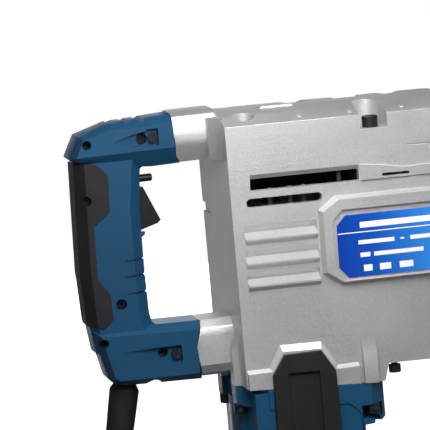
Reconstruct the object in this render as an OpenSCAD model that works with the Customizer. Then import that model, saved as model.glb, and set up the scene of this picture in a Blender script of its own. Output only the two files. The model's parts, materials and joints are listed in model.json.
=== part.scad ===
// Electric demolition hammer with a D-handle at the rear, a motor hanging under the
// gear housing and a hexagonal chisel socket at the front. X runs forward to the chisel,
// Z runs up, and the tool stands on the flat bottom of its motor cap.

/* [Housing] */
// Width of the cast housing across Y
body_w = 106; // [104:0.5:108]
// Length of the cast housing along X
body_l = 260; // [258:1:264]
// Height of the housing's upper edge above the floor
body_top = 330; // [329.5:0.25:331]
// Forward slope of the castings' long edges in degrees
tilt = 0.9; // [0.7:0.1:1.1]
// Wall thickness of the castings
wall = 6; // [5.5:0.5:7]

/* [Handle] */
// Width of the handle's side faces across Y
handle_w = 46; // [44:1:48]
// Width of the grip across Y
grip_w = 38; // [37:0.5:40]
// Rearward travel of the sprung handle
handle_travel = 4; // [2:0.5:4.5]

/* [Drive] */
// Teeth on the motor pinion
pinion_teeth = 10; // [10:1:10]
// Teeth on the crank gear
gear_teeth = 60; // [60:1:60]
// Tooth module of the gear pair
gear_module = 1.3; // [1.3:0.05:1.3]
// Radius of the crank pin's circle, half of the piston stroke
crank_r = 18; // [14:1:20]
// Length of the connecting rod between its centres
rod_l = 74; // [72:1:76]
// Bore of the striking cylinder
cyl_bore = 50; // [48:1:51]

/* [Front end] */
// Height of the hammer's working axis above the floor
axis_z = 238; // [236:1:240]
// Outer diameter of the barrel
barrel_d = 104; // [102:1:106]
// Size across flats of the chisel socket
hex_af = 30.4; // [30:0.1:31]

/* [Cord] */
// Outer diameter of the mains cable
cord_d = 9.5; // [9:0.25:10]

/* [Hidden] */
$fn = 48;
half_w = body_w / 2;
rear_x = -46;
front_x = rear_x + body_l;
split_z = -51;
web_foot = -60;
web_end = 126;
web_w = 4;
pitch_r1 = gear_module * pinion_teeth / 2;
pitch_r2 = gear_module * gear_teeth / 2;
crank_x = pitch_r1 + pitch_r2;
wrist_x = crank_x - crank_r + rod_l;
piston_rear = wrist_x - 14;
nose_x = 374;
holder_x = 452;
tip_x = 570;
flange_r = 58;
motor_r = 50;
motor_front = 55;
cover_bolt_x = [118.5, 225];
crest_bolt_x = 19;
rear_boss_y = 25;
rear_boss_x = -51;
crest_bolt_y = 37;
cover_bolt_y = 42;
cover_bolt_foot = -64;
pocket_w = 22;
pocket_y = -29;
pocket_floor = -11.4;
side_signs = [-1, 1];
loop_x = 309;
sleeve_d = 60;
underside_bolt_x = [75.2, 119, 163];
flange_spots = [for (y = [-43, 43]) for (z = [-42, 33]) [y, z]];

// A side outline in X and Z, extruded across Y from y0 to y1.
module slab(points, y0, y1) {
    translate([0, y1, 0])
        rotate([90, 0, 0])
            linear_extrude(y1 - y0)
                polygon(points);
}

// A cross section in Y and Z, extruded along X from x0 to x1.
module bar_x(points, x0, x1) {
    translate([x0, 0, 0])
        rotate([90, 0, 90])
            linear_extrude(x1 - x0)
                polygon(points);
}

// A plan outline in X and Y, extruded up from z0 to z1.
module plate(points, z0, z1) {
    translate([0, 0, z0])
        linear_extrude(z1 - z0)
            polygon(points);
}

module box(x0, x1, y0, y1, z0, z1) {
    translate([x0, y0, z0])
        cube([x1 - x0, y1 - y0, z1 - z0]);
}

module rod_x(x0, x1, d, y = 0, z = 0) {
    translate([x0, y, z])
        rotate([0, 90, 0])
            cylinder(h = x1 - x0, d = d);
}

module rod_y(y0, y1, d, x = 0, z = 0) {
    translate([x, y0, z])
        rotate([-90, 0, 0])
            cylinder(h = y1 - y0, d = d);
}

module rod_z(z0, z1, d, x = 0, y = 0) {
    translate([x, y, z0])
        cylinder(h = z1 - z0, d = d);
}

// The castings' own slightly tilted frame, with its origin on the upper rear edge.
module tilted() {
    translate([rear_x, 0, body_top])
        rotate([0, tilt, 0])
            children();
}

// A body turned about the hammer's axis from [x, radius] points.
module turned_x(points) {
    translate([0, 0, axis_z])
        rotate([0, 90, 0])
            rotate_extrude()
                polygon([for (p = points) [p[1], p[0]]]);
}

// A ring or tube along X on the hammer's axis.
module tube_x(x0, x1, d, bore) {
    translate([0, 0, axis_z])
        difference() {
            rod_x(x0, x1, d);
            rod_x(x0 - 1, x1 + 1, bore);
        }
}

// A ring or tube along Z.
module tube_z(z0, z1, d, bore, x = 0, y = 0) {
    difference() {
        rod_z(z0, z1, d, x, y);
        rod_z(z0 - 1, z1 + 1, bore, x, y);
    }
}

// A round bar swept along a list of points, with flat ends.
function unit(v) = v / norm(v);
function heading(path, i) = unit(path[min(i + 1, len(path) - 1)] - path[max(i - 1, 0)]);
function sideways(path, i) =
    let (h = heading(path, i), up = abs(h[2]) > 0.95 ? [0, 1, 0] : [0, 0, 1]) unit(cross(up, h));
module swept(path, d, sides, across = []) {
    count = len(path);
    rings = [
        for (i = [0 : count - 1])
            let (
                h = heading(path, i),
                s = len(across) > 0 ? unit(across - h * (across * h)) : sideways(path, i),
                t = cross(h, s)
            )
            for (k = [0 : sides - 1])
                path[i] + d / 2 * (s * cos(360 * k / sides) + t * sin(360 * k / sides))
    ];
    walls = [
        for (i = [0 : count - 2])
            for (k = [0 : sides - 1])
                let (n = (k + 1) % sides)
                [i * sides + k, (i + 1) * sides + k, (i + 1) * sides + n, i * sides + n]
    ];
    first = [for (k = [0 : sides - 1]) k];
    last = [for (k = [sides - 1 : -1 : 0]) (count - 1) * sides + k];
    polyhedron(rings, concat([first], walls, [last]));
}

// The joint between the casting and the plastic motor cover slopes down to the front.
skirt_rear_z = 124.4;
skirt_front_z = 117.2;
bumper_outline = [
    [-15.4, 149], [13.9, 149], [24.4, 131.8], [25.5, 40], [13, 24], [-14, 24], [-26.3, 40], [-26.1, 133.8]
];
rim_outer = [[-17.5, 156], [15.8, 155], [30, 131], [30, 118], [-31, 122], [-31, 133]];
rim_inner = [[-16, 151], [14.5, 150], [27, 130], [27, 118], [-28, 122], [-28, 131.5]];
rib_tops = [-77, -96, -113.5];
frame_outline = [
    [69.3, -71], [83.4, -61], [216, -61], [230, -71], [230, -121], [216, -131.2], [83.4, -131.2],
    [69.3, -121]
];
frame_top = [
    [72.3, -72.5], [85, -63.8], [214.5, -63.8], [227, -72.5], [227, -119.5], [214.5, -128.4],
    [85, -128.4], [72.3, -119.5]
];
label_pocket = [
    [79.3, -80], [87, -72], [212, -72], [220, -80], [220, -118], [212, -128.2], [87, -128.2], [79.3, -119]
];
label_outline = [
    [82.5, -84.5], [89.7, -76.8], [210, -76.8], [217, -84.5], [217, -117], [210, -126], [90, -126],
    [82.5, -117.5]
];

// Everything that stands proud of one side of the main casting.
module side_reliefs() {
    hull() {
        slab(rim_outer, -half_w, 1 - half_w);
        slab(rim_inner, -half_w - 4, 1 - half_w);
    }
    for (span = [[-45, -26, 139], [25, 44.5, 135]])
        bar_x(
            [[-half_w + 1, span[2]], [-half_w, span[2]], [-half_w - 4, span[2] - 2.6], [-half_w - 4, 110],
             [-half_w + 1, 110]],
            span[0], span[1]
        );
    bar_x(
        [[-half_w + 1, 153.5], [-half_w, 153.5], [-half_w - 5, 142], [-half_w - 5, 110],
         [-half_w + 1, 110]],
        47.7, 58.9
    );
    tilted() {
        hull() {
            slab(frame_outline, -half_w, 1 - half_w);
            slab(frame_top, -half_w - 5.5, 1 - half_w);
        }
        for (z = rib_tops)
            bar_x(
                [[-half_w + 4, z - 6.4], [-half_w - 3, z - 11], [-half_w - 3, z - 12.4],
                 [-half_w + 1, z - 16.8],
                 [-half_w + 4, z - 16.8]],
                10, 67.5
            );
    }
}

// Upright ribs on the inner faces of both side walls, seen through the slots.
// Solid posts under the roof that the bolts pass through.
module bolt_pillars(z0) {
    for (m = [0, 1])
        mirror([0, m, 0]) {
            for (x = cover_bolt_x)
                box(x - pocket_w / 2 - 3, x + pocket_w / 2 + 3, -half_w, pocket_y + pocket_w / 2 + 3, z0, 0);
            box(0, crest_bolt_x + 10, -half_w, 10 - crest_bolt_y, -32, 0);
        }
}

module inner_ribs(places, z0, z1) {
    for (x = places)
        for (m = [0, 1])
            mirror([0, m, 0])
                box(x - 1.5, x + 1.5, half_w - wall - 5, half_w - wall + 1, z0, z1);
}

module side_cuts() {
    tilted() {
        for (z = rib_tops)
            bar_x(
                [[-half_w - 1, z], [-half_w + 3.8, z - 5.2], [-half_w + 3.8, z - 6.6],
                 [-half_w - 1, z - 10]],
                9.5, 67.5
            );
        slab(label_pocket, -half_w - 6, -half_w - 3);
        hull() {
            rod_y(-half_w - 1, -half_w + 8, 7, 16.5, -60.4);
            rod_y(-half_w - 1, -half_w + 8, 7, 70, -60.4);
        }
    }
    slab(bumper_outline, -half_w - 9, -half_w + 3);
}

module bolt_pockets(z0, z1, d) {
    for (s = side_signs) {
        rod_z(z0, z1, d, -47, rear_boss_y * s);
        rod_z(z0, z1, d, 54, 50 * s);
    }
}

// Two columns on the rear face that take the motor's rear bolts.
module rear_bosses() {
    for (s = side_signs)
        slab(
            [[-40, 165], [-46, 165], [rear_boss_x, 152], [rear_boss_x, 110], [-40, 110]],
            rear_boss_y * s - 7, rear_boss_y * s + 7
        );
}

module main_housing() {
    color("silver")
        difference() {
            union() {
                slab(
                    [[rear_x, skirt_rear_z], [rear_x, 285], [front_x, 285], [front_x, 127], [69, 131],
                     [65, skirt_front_z]],
                    -half_w, half_w
                );
                rear_bosses();
                side_reliefs();
                mirror([0, 1, 0])
                    side_reliefs();
            }
            tilted()
                box(-20, 300, -80, 80, split_z, 40);
            slab([[-80, 90], [-80, 126.1], [80, 116.3], [80, 90]], -80, 80);
            difference() {
                box(rear_x + wall, front_x - 2 * wall, wall - half_w, half_w - wall, 142, 300);
                tilted() {
                    inner_ribs([34, 50, 61], -74, split_z + 1);
                    for (x = cover_bolt_x)
                        for (m = [0, 1])
                            mirror([0, m, 0])
                                box(x - 9, x + 9, -half_w, -34, cover_bolt_foot - 8, split_z + 1);
                }
            }
            tilted()
                for (x = cover_bolt_x)
                    for (s = side_signs)
                        rod_z(cover_bolt_foot, split_z + 1, 6.4, x, cover_bolt_y * s);
            rod_z(100, 150, 96);
            side_cuts();
            mirror([0, 1, 0])
                side_cuts();
            box(rear_x - 1, rear_x + 2, 28, half_w + 1, 253.5, 261);
            rod_x(front_x - 20, front_x + 1, sleeve_d + 0.1, 0, axis_z);
            bolt_pockets(100, 135, 5);
            for (x = underside_bolt_x)
                for (s = side_signs)
                    rod_z(120, 139, 5, x, 46 * s);
            for (spot = flange_spots)
                rod_x(front_x - 11, front_x + 1, 6, spot[0], axis_z + spot[1]);
        }
}

crest_starts = [64, 104, 144, 184];
module cover_pocket(x) {
    box(x - pocket_w / 2, x + pocket_w / 2, -half_w - 3, pocket_y, pocket_floor, 20);
    rod_z(pocket_floor, 20, pocket_w, x, pocket_y);
    rod_z(-60, 0, 6.4, x, -cover_bolt_y);
}

module upper_housing() {
    color("gainsboro")
        difference() {
            union() {
                intersection() {
                    tilted()
                        union() {
                            bar_x(
                                [[-half_w, split_z], [-half_w, 0], [-37, 6.3], [-12, 8.5], [12, 8.5],
                                 [37, 6.3], [half_w, 0], [half_w, split_z]],
                                -10, body_l + 10
                            );
                            for (s = side_signs)
                                slab(
                                    [[105, -38.3], [124, -40.7], [140, -43.5], [161, -43], [252, -43],
                                     [252, split_z],
                                     [105, split_z]],
                                    s > 0 ? half_w - 1 : -half_w - 1.6, s > 0 ? half_w + 1.6 : 1 - half_w
                                );
                            box(38, 64, -15, -6, 6, 9.6);
                            box(wall + 2, web_end, -web_w / 2, web_w / 2, web_foot, -7);
                        }
                    box(rear_x, front_x, -80, 80, 200, 400);
                }
                arm_root();
            }
            tilted() {
                difference() {
                    box(wall + 2, body_l - 2 * wall, wall - half_w, half_w - wall, web_foot, -8);
                    box(wall, web_end, -web_w / 2, web_w / 2, web_foot - 1, 0);
                    inner_ribs([90], web_foot - 1, 0);
                    bolt_pillars(web_foot - 1);
                }
                for (m = [0, 1])
                    mirror([0, m, 0]) {
                        bar_x(
                            [[-half_w - 1, -37.6], [-half_w + 4, -42.2], [-half_w + 8, -42.2],
                             [-half_w + 8, -60],
                             [-half_w - 1, -60]],
                            17, 104
                        );
                        box(122.5, 144.4, -half_w - 3, -half_w + 9, -49.4, -47.1);
                        for (x = cover_bolt_x)
                            cover_pocket(x);
                        rod_z(-6, 20, 17, crest_bolt_x, -crest_bolt_y);
                        rod_z(-30, 0, 6.4, crest_bolt_x, -crest_bolt_y);
                        slab(
                            [[144.4, -26.1], [162.2, -26.4], [163.2, -31], [161.8, -31], [161, -27.6],
                             [144.4, -27.3]],
                            -half_w - 1, -half_w + 1.2
                        );
                    }
                for (x = crest_starts)
                    slab(
                        [[x - 2, 9.5], [x, 7], [x + 4, 2.4], [x + 13, 2.4], [x + 20, 7], [x + 22, 9.5]],
                        4, half_w + 2
                    );
            }
        }
}

module nameplate() {
    color("royalblue")
        tilted()
            slab(label_outline, -half_w - 3.8, -half_w - 3);
}

module motor_cover() {
    color("steelblue")
        difference() {
            union() {
                intersection() {
                    plate(
                        [[-47, -30], [-34, -51], [-30, -57], [52, -57], [65, -44], [65, 44], [52, 57],
                         [-30, 57], [-34, 51],
                         [-47, 30]],
                        60, 140
                    );
                    slab(
                        [[-60, 108], [-60, 124.9], [65, 117.2], [65, 88], [62, 86.3], [44, 85],
                         [42, 96], [34, 104]],
                        -80, 80
                    );
                }
                for (s = side_signs)
                    slab(
                        [[-38, 109], [rear_boss_x, 109], [rear_boss_x, 124.3], [-38, 123.5]],
                        rear_boss_y * s - 7, rear_boss_y * s + 7
                    );
                rod_z(20, 112, 2 * motor_r - 1);
                plate(
                    [[20, -44], [38, -38], [motor_front, -18], [motor_front, 18], [38, 38], [20, 44]],
                    22, 112
                );
                for (s = side_signs)
                    slab([[-41, 22], [43, 22], [43, 118], [-41, 120]], s * 49 - 7, s * 49 + 7);
            }
            rod_z(10, 140, 92);
            for (s = side_signs)
                slab(bumper_outline, s > 0 ? half_w - 3 : -half_w - 9, s > 0 ? half_w + 9 : 3 - half_w);
            for (s = side_signs) {
                rod_z(80, 109, 13, -47, rear_boss_y * s);
                box(43.4, 62, s > 0 ? 42 : -58, s > 0 ? 58 : -42, 89.5, 100.7);
                rod_z(80, 92, 11, 54, 50 * s);
            }
            bolt_pockets(95, 135, 5);
            rod_x(-60, 60, 16.04, 0, 44);
        }
}

module side_bumpers() {
    color("dimgray")
        for (m = [0, 1])
            mirror([0, m, 0])
                difference() {
                    slab(bumper_outline, -half_w - 7.5, 3 - half_w);
                    slab([[-14, 134], [11, 133], [11, 46], [-14, 46]], -half_w - 9, -half_w - 5);
                }
}

module motor_end_cap() {
    color("steelblue") {
        difference() {
            union() {
                rod_z(0, 6, 90);
                translate([0, 0, 6])
                    cylinder(h = 4, d1 = 90, d2 = 99);
                rod_z(10, 20, 2 * motor_r - 1);
                rod_z(19, 24, 91.6);
            }
            rod_z(8, 30, 84);
            for (a = [0 : 30 : 330])
                rotate([0, 0, a])
                    box(14, 34, -2, 2, -1, 9);
        }
        tube_z(7.9, 13, 30, 22.02);
    }
}

// The rear handle. Its outlines are in X and Z.
top_arm = [
    [-162, 314.4], [-153.5, 330.8], [-129, 338.2], [-80.5, 340.6], [-80.5, 327], [-79, 307.5], [-74.8, 302.4],
    [-98, 302], [-156, 307]
];
top_arm_face = [
    [-158, 315.6], [-151, 329], [-128, 334.6], [-80.5, 335], [-80.5, 327], [-79.8, 316], [-128, 316.4]
];
// Height, then the rear and front edges at the middle of the grip and on its side faces.
grip_rows = [
    [160, -155, -104, -149, -112], [187, -158.8, -110, -153, -119], [225, -160.5, -110.6, -154.5, -119.5],
    [270, -159.2, -110, -153, -119], [310, -158, -106, -152, -114]
];
low_arm = [
    [-156.5, 178], [-147, 138.4], [-143, 134.5], [-133, 132.4], [-112, 133.5], [-72.5, 130.4], [-76, 145],
    [-77, 157], [-71, 177], [-102.5, 176.6], [-112, 178]
];
low_arm_face = [
    [-151, 174], [-143.5, 141], [-140, 138], [-76.5, 136.5], [-77, 157], [-74.5, 171], [-106, 171]
];
pad_outline = [
    [-166, 313], [-147, 310.5], [-140.6, 307.2], [-134, 299.2], [-135.2, 271.3], [-148.8, 260.9],
    [-149.5, 219], [-140.6, 206.2], [-140.2, 187.1], [-147.5, 180.5], [-166, 183]
];
tongue_w = 16;
guard_x = -132.4;
guard_z = 132;
guard_tilt = 11.6;
guard_len = 56;
screw_spots = [
    [-149, 324.8, 7.4], [-105.2, 324.8, 9], [-132.6, 197.3, 8.6], [-149.5, 168.6, 7.2], [-103.6, 155.8, 8]
];
pad_hole = [-152.4, 281];
pin_spots = [[-96.3, 325], [-93, 153.5]];
window_y = 19;
scoop_outlines = [
    [[0, -6.5], [0, 7.2], [-9.5, 5.9], [-21, 4.2], [-37, -1.3], [-19, -5.3]],
    [[0, -6.5], [0, 7.2], [-20, 7.2], [-43, 6.4], [-49, 3], [-38, -0.5], [-20, -3.8], [-8, -5.5]]
];
roof_notches = [-125.5, -114.5, -103.5];
finger_grooves = [230, 217.4, 204];

module handle_solid() {
    difference() {
        handle_blank();
        slab(
            [[-80.5, 345], [-80.5, 327], [-79, 307.5], [-74.8, 302.4], [-74.8, 298], [-50, 298],
             [-50, 345]],
            -40, 40
        );
        slab([[-117, 128], [-117, 132.6], [-112, 135.2], [-106, 133.4], [-106, 128]], -40, 40);
        slab([[-72.5, 126], [-76, 145], [-77, 157], [-71, 178], [-50, 178], [-50, 126]], -40, 40);
    }
}

// One length of the grip after another, each of them convex.
module grip_core(rear = 0, side = 0) {
    for (i = [0 : len(grip_rows) - 2])
        let (low = grip_rows[i], high = grip_rows[i + 1])
            hull() {
                slab(
                    [[low[1] - rear, low[0]], [high[1] - rear, high[0]], [high[2], high[0]], [low[2],
                     low[0]]],
                    -11, 11
                );
                slab(
                    [[low[3], low[0]], [high[3], high[0]], [high[4], high[0]], [low[4], low[0]]],
                    -grip_w / 2 - side, grip_w / 2 + side
                );
            }
}

module handle_blank() {
    hull() {
        slab(top_arm, -14, 14);
        slab(top_arm_face, -handle_w / 2, handle_w / 2);
    }
    grip_core();
    hull() {
        slab(low_arm, -14, 14);
        slab(low_arm_face, -handle_w / 2, handle_w / 2);
    }
    slab([[-114, 245], [-107.8, 249.6], [-107.8, 251.6], [-114, 251.6]], -13, 13);
    fillet(-111, 304, 1, 12);
    fillet(-111, 175.5, -1, 12);
}

// A rounded inner corner where the grip's front meets an arm. The sign gives the side that the arm is on.
module fillet(x, z, up, r) {
    difference() {
        box(x, x + r, -12, 12, min(z, z - up * r), max(z, z - up * r));
        rod_y(-13, 13, 2 * r, x + r, z - up * r);
    }
}

// A hollow in a side face that deepens from its pointed rear end to a damper pin's window.
module scoop(outline, x, z) {
    reach = min([for (p = outline) p[0]]);
    translate([x, 0, z])
        intersection() {
            slab(outline, 15, 30);
            plate([[0, 30], [0, window_y], [-10, window_y], [reach, handle_w / 2], [reach, 30]], -20, 20);
        }
}

module pad_zone() {
    difference() {
        slab(pad_outline, -grip_w / 2 - 3, grip_w / 2 + 3);
        box(-154, -120, -14, 14, 170, 320);
    }
}

// Hollows shared by both handle shells.
module handle_cavities() {
    box(-150, -127, -10, 10, 248, 287);
    box(-128, -100, -9.8, 9.8, 248, 287);
    rod_x(-124, -100, 6.4, 0, 292);
    box(-116, -107.5, -6, 6, 288.6, 295.4);
    rod_z(160, 250, 13, -140, 0);
    translate([guard_x, 0, guard_z])
        rotate([0, guard_tilt, 0]) {
            rod_z(-20, 60, 19);
            rod_z(5, 10, 26.5);
        }
    for (z = [325, 153.5])
        box(-116, -60, -tongue_w / 2 - 1, tongue_w / 2 + 1, z - 12, z + 10);
    for (p = pin_spots) {
        rod_y(-30, 30, 8.04, p[0], p[1]);
        for (s = side_signs)
            box(p[0] - 5, p[0] + 4.2, s > 0 ? window_y : -30, s > 0 ? 30 : -window_y, p[1] - 6.5, p[1] + 7.2);
    }
    for (p = screw_spots)
        for (s = side_signs)
            rod_y(s > 0 ? grip_w / 2 - 8 : -40, s > 0 ? 40 : 8 - grip_w / 2, p[2], p[0], p[1]);
    for (s = side_signs)
        rod_y(s > 0 ? 11 : -40, s > 0 ? 40 : -11, 7.6, pad_hole[0], pad_hole[1]);
    rod_y(-12, 12, 4.04, trigger_hinge[0], trigger_hinge[1]);
    for (m = [0, 1])
        mirror([0, m, 0])
            for (i = [0, 1])
                scoop(scoop_outlines[i], pin_spots[i][0] + 4.2, pin_spots[i][1]);
    for (z = finger_grooves)
        difference() {
            box(-127, -100, -30, 30, z, z + 1.5);
            plate(
                [[-128, grip_w / 2 - 1.1], [-119.8, grip_w / 2 - 1.1], [-111.6, 10.4], [-111.6, -10.4],
                 [-119.8, 1.1 - grip_w / 2], [-128, 1.1 - grip_w / 2]],
                z - 1, z + 3
            );
        }
    for (x = roof_notches)
        rod_y(-30, 30, 5, x, 340);
}

module handle_half(s) {
    color("steelblue")
        difference() {
            intersection() {
                handle_solid();
                box(-200, -40, s > 0 ? 0 : -40, s > 0 ? 40 : 0, 100, 360);
            }
            pad_zone();
            handle_cavities();
        }
}

module handle_shell_left() handle_half(1);
module handle_shell_right() handle_half(-1);

module grip_pad() {
    color("dimgray")
        difference() {
            intersection() {
                pad_zone();
                grip_core(1.5, 1.2);
            }
            rod_y(-40, 40, 7.6, pad_hole[0], pad_hole[1]);
        }
}

// A cast arm with a flat tongue that slides inside the handle. The slot lets the handle's pin travel.
module arm(section, z, pin_x, arm_end, clear_of_handle) {
    color("silver")
        difference() {
            union() {
                difference() {
                    bar_x(section, arm_end, rear_x);
                    slab(clear_of_handle, -40, 40);
                }
                box(-108, arm_end + 14, -tongue_w / 2, tongue_w / 2, z - 11, z + 9);
            }
            for (x = [pin_x - handle_travel, pin_x])
                rod_y(-30, 30, 8.6, x, z);
            box(pin_x - handle_travel, pin_x, -30, 30, z - 4.3, z + 4.3);
        }
}

upper_section = [
    [-12, 342], [-20, 339], [-23, 333], [-24, 321], [-22, 315.5], [-15, 303], [15, 303], [22, 315.5],
    [24, 321],
    [23, 333], [20, 339], [12, 342]
];
lower_section = [
    [-14, 177], [-21, 171], [-23, 165], [-23, 142], [-19, 135], [-12, 132], [12, 132], [19, 135], [23, 142],
    [23, 165], [21, 171], [14, 177]
];
module arm_root() {
    plate([[rear_x + 1, -42], [-50, -33], [-54, -28], [-54, 28], [-50, 33], [rear_x + 1, 42]], 303, 336);
}

module upper_arm() {
    difference() {
        arm(
            upper_section, 325, pin_spots[0][0], -80.1,
            [[-110, 298], [-110, 345], [-80.1, 345], [-80.1, 327], [-78.5, 307.6], [-74.3, 302.5],
             [-74.3, 298]]
        );
        arm_root();
    }
}

module lower_arm() {
    difference() {
        arm(
            lower_section, 153.5, pin_spots[1][0], -76.5,
            [[-90, 181], [-90, 128], [-72.1, 128], [-72.1, 130.4], [-75.6, 145], [-76.6, 157],
             [-70.6, 177.2],
             [-70.6, 181]]
        );
        rear_bosses();
    }
}

module damper_pins() {
    color("dimgray")
        for (p = pin_spots)
            rod_y(-21.5, 21.5, 8, p[0], p[1]);
}

spring_turns = 4;
module damper_springs() {
    color("silver")
        for (z = [325, 153.5])
            swept(
                [for (a = [0 : 20 : 360 * spring_turns])
                    [-115.2 + 6.6 * a / (360 * spring_turns), 7 * cos(a), z + 7 * sin(a)]],
                1.2, 8
            );
}

trigger_hinge = [-114, 282.5];
module trigger() {
    color("dimgray")
        difference() {
            slab(
                [[-118, 286], [-105.4, 286], [-100, 273.5], [-93.6, 258.8], [-96.3, 256.4],
                 [-109.7, 252.6], [-118, 254]],
                -9, 9
            );
            rod_y(-12, 12, 4.06, trigger_hinge[0], trigger_hinge[1]);
            slab([[-130, 256], [-130, 276], [-110, 276], [-110, 256]], -6, 6);
        }
}

module trigger_pin() {
    color("silver")
        rod_y(-11.9, 11.9, 4, trigger_hinge[0], trigger_hinge[1]);
}

module lock_button() {
    color("dimgray") {
        rod_x(-113.6, -97, 6, 0, 292);
        translate([-97, 0, 292])
            rotate([0, 90, 0])
                cylinder(h = 1, d1 = 6, d2 = 4.6);
    }
}

module switch_body() {
    color("dimgray") {
        box(-149, -131, -9, 9, 250, 285);
        box(-131, -126.5, -3, 3, 262, 268);
    }
}

module cord_guard() {
    color("dimgray")
        translate([guard_x, 0, guard_z])
            rotate([0, guard_tilt, 0])
                rotate_extrude()
                    polygon([
                        [0, 12], [9, 12], [9, 10], [13, 10], [13, 5], [9, 5], [9, -0.6], [11.7, -5],
                        [11.4, -20],
                        [10.9, -40], [7, -guard_len], [0, -guard_len]
                    ]);
}

cord_start = [guard_x - guard_len * sin(guard_tilt), 0, guard_z - guard_len * cos(guard_tilt)];
floor_z = cord_d / 2;
cord_route = [
    cord_start, [-145, 0, 71], [-147, 0, 62], [-150, 0, 53], [-155, 0, 43], [-162, 0, 33], [-171, 0, 24],
    [-182, 0, 16], [-195, 0, 10], [-209, 0, 6.2], [-223, 0, floor_z], [-236, 0, floor_z],
    [-250, 0, floor_z],
    [-258, 0, floor_z]
];
coil_x = -290;
coil_y = 68.25;
coil_inner = 35;
coil_columns = 4;
coil_layers = 2;
module power_cord() {
    color("black")
        swept(cord_route, cord_d, 12, [0, 1, 0]);
}

module cord_coil() {
    color("black")
        translate([coil_x, coil_y, 0])
            rotate_extrude($fn = 72)
                translate([coil_inner, 0])
                    square([coil_columns * cord_d, coil_layers * cord_d]);
}

lead_y = 2 * coil_y;
lead_route = [[-260, lead_y, 14.25], [-250, lead_y, 14.2], [-240, lead_y, 13.7], [-230, lead_y, 13]];
module plug_lead() {
    color("black")
        swept(lead_route, cord_d, 12, [0, 1, 0]);
}

module plug_body() {
    color("black")
        difference() {
            hull() {
                box(-206, -196, lead_y - 15, lead_y + 15, 0, 28);
                box(-230, -228, lead_y - 7, lead_y + 7, 6, 20);
            }
            for (y = [-6.35, 6.35])
                box(-198, -190, lead_y + y - 0.8, lead_y + y + 0.8, 10.8, 17.2);
            rod_x(-198, -190, 4.8, lead_y, 6);
        }
}

module plug_blades() {
    color("goldenrod") {
        for (y = [-6.35, 6.35])
            box(-198, -180, lead_y + y - 0.8, lead_y + y + 0.8, 10.8, 17.2);
        rod_x(-198, -178, 4.8, lead_y, 6);
    }
}

module handle_screws() {
    color("dimgray")
        for (p = concat(screw_spots, [[pad_hole[0], pad_hole[1], 7.6]]))
            rod_y(4.5 - grip_w / 2, 8 - grip_w / 2, p[2] - 0.6, p[0], p[1]);
}

module motor_bolts() {
    color("dimgray")
        for (s = side_signs) {
            rod_z(101, 109, 10, -47, rear_boss_y * s);
            rod_z(109, 134, 5, -47, rear_boss_y * s);
            rod_z(92.5, 100.7, 10.5, 54, 50 * s);
            rod_z(100.7, 134, 5, 54, 50 * s);
        }
}

module cover_bolts() {
    color("dimgray")
        tilted()
            for (s = side_signs) {
                for (x = cover_bolt_x) {
                    rod_z(pocket_floor, -2.4, 12.5, x, cover_bolt_y * s);
                    rod_z(cover_bolt_foot, pocket_floor, 6.4, x, cover_bolt_y * s);
                }
                rod_z(-6, 0.5, 10, crest_bolt_x, crest_bolt_y * s);
                rod_z(-30, -6, 6.4, crest_bolt_x, crest_bolt_y * s);
            }
}

module underside_bolts() {
    color("dimgray")
        for (x = underside_bolt_x)
            for (s = side_signs) {
                rod_z(122, 128.2, 9.6, x, 46 * s);
                rod_z(128.2, 138.5, 5, x, 46 * s);
            }
}

// The barrel, nose and chisel socket share the hammer's axis.
module barrel() {
    color("silver")
        difference() {
            union() {
                box(front_x, front_x + 12, -half_w + 1, half_w - 1, axis_z - 52, axis_z + 42);
                turned_x([
                    [front_x, 0], [front_x, 49], [front_x + 12, barrel_d / 2], [nose_x - 18, barrel_d / 2],
                    [nose_x - 12, flange_r], [nose_x, flange_r], [nose_x, 0]
                ]);
                for (a = [0 : 30 : 330])
                    translate([0, 0, axis_z])
                        rotate([a, 0, 0])
                            box(front_x + 12, 284, -3, 3, barrel_d / 2 - 3, barrel_d / 2 + 2.5);
            }
            rod_x(front_x - 1, 313, sleeve_d + 0.1, 0, axis_z);
            rod_x(312, nose_x + 1, 62, 0, axis_z);
            tube_x(front_x + 16, 304, barrel_d - 16, sleeve_d + 12);
            for (spot = flange_spots) {
                rod_x(front_x - 1, front_x + 13, 6, spot[0], axis_z + spot[1]);
                rod_x(front_x + 12, front_x + 26, 13, spot[0], axis_z + spot[1]);
            }
            flange_holes(6.4);
        }
}

module flange_holes(d) {
    for (a = [45 : 90 : 315])
        translate([0, 0, axis_z])
            rotate([a, 0, 0])
                rod_x(nose_x - 12, nose_x + 13, d, 0, 50);
}

module nose() {
    color("silver")
        difference() {
            turned_x([
                [346, 0], [346, 31], [nose_x, 31], [nose_x, flange_r], [nose_x + 11, flange_r],
                [nose_x + 12, flange_r - 1], [nose_x + 12, 43], [holder_x - 10, 35], [holder_x, 35],
                [holder_x, 0]
            ]);
            rod_x(340, holder_x + 1, 30.1, 0, axis_z);
            flange_holes(6.4);
        }
}

module nose_bolts() {
    color("dimgray") {
        for (a = [45 : 90 : 315])
            translate([0, 0, axis_z])
                rotate([a, 0, 0]) {
                    rod_x(nose_x + 12, nose_x + 20, 11, 0, 50);
                    rod_x(nose_x - 11, nose_x + 12, 6.4, 0, 50);
                }
        for (spot = flange_spots) {
            rod_x(front_x + 12, front_x + 20, 10, spot[0], axis_z + spot[1]);
            rod_x(front_x - 10, front_x + 12, 6, spot[0], axis_z + spot[1]);
        }
    }
}

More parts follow.
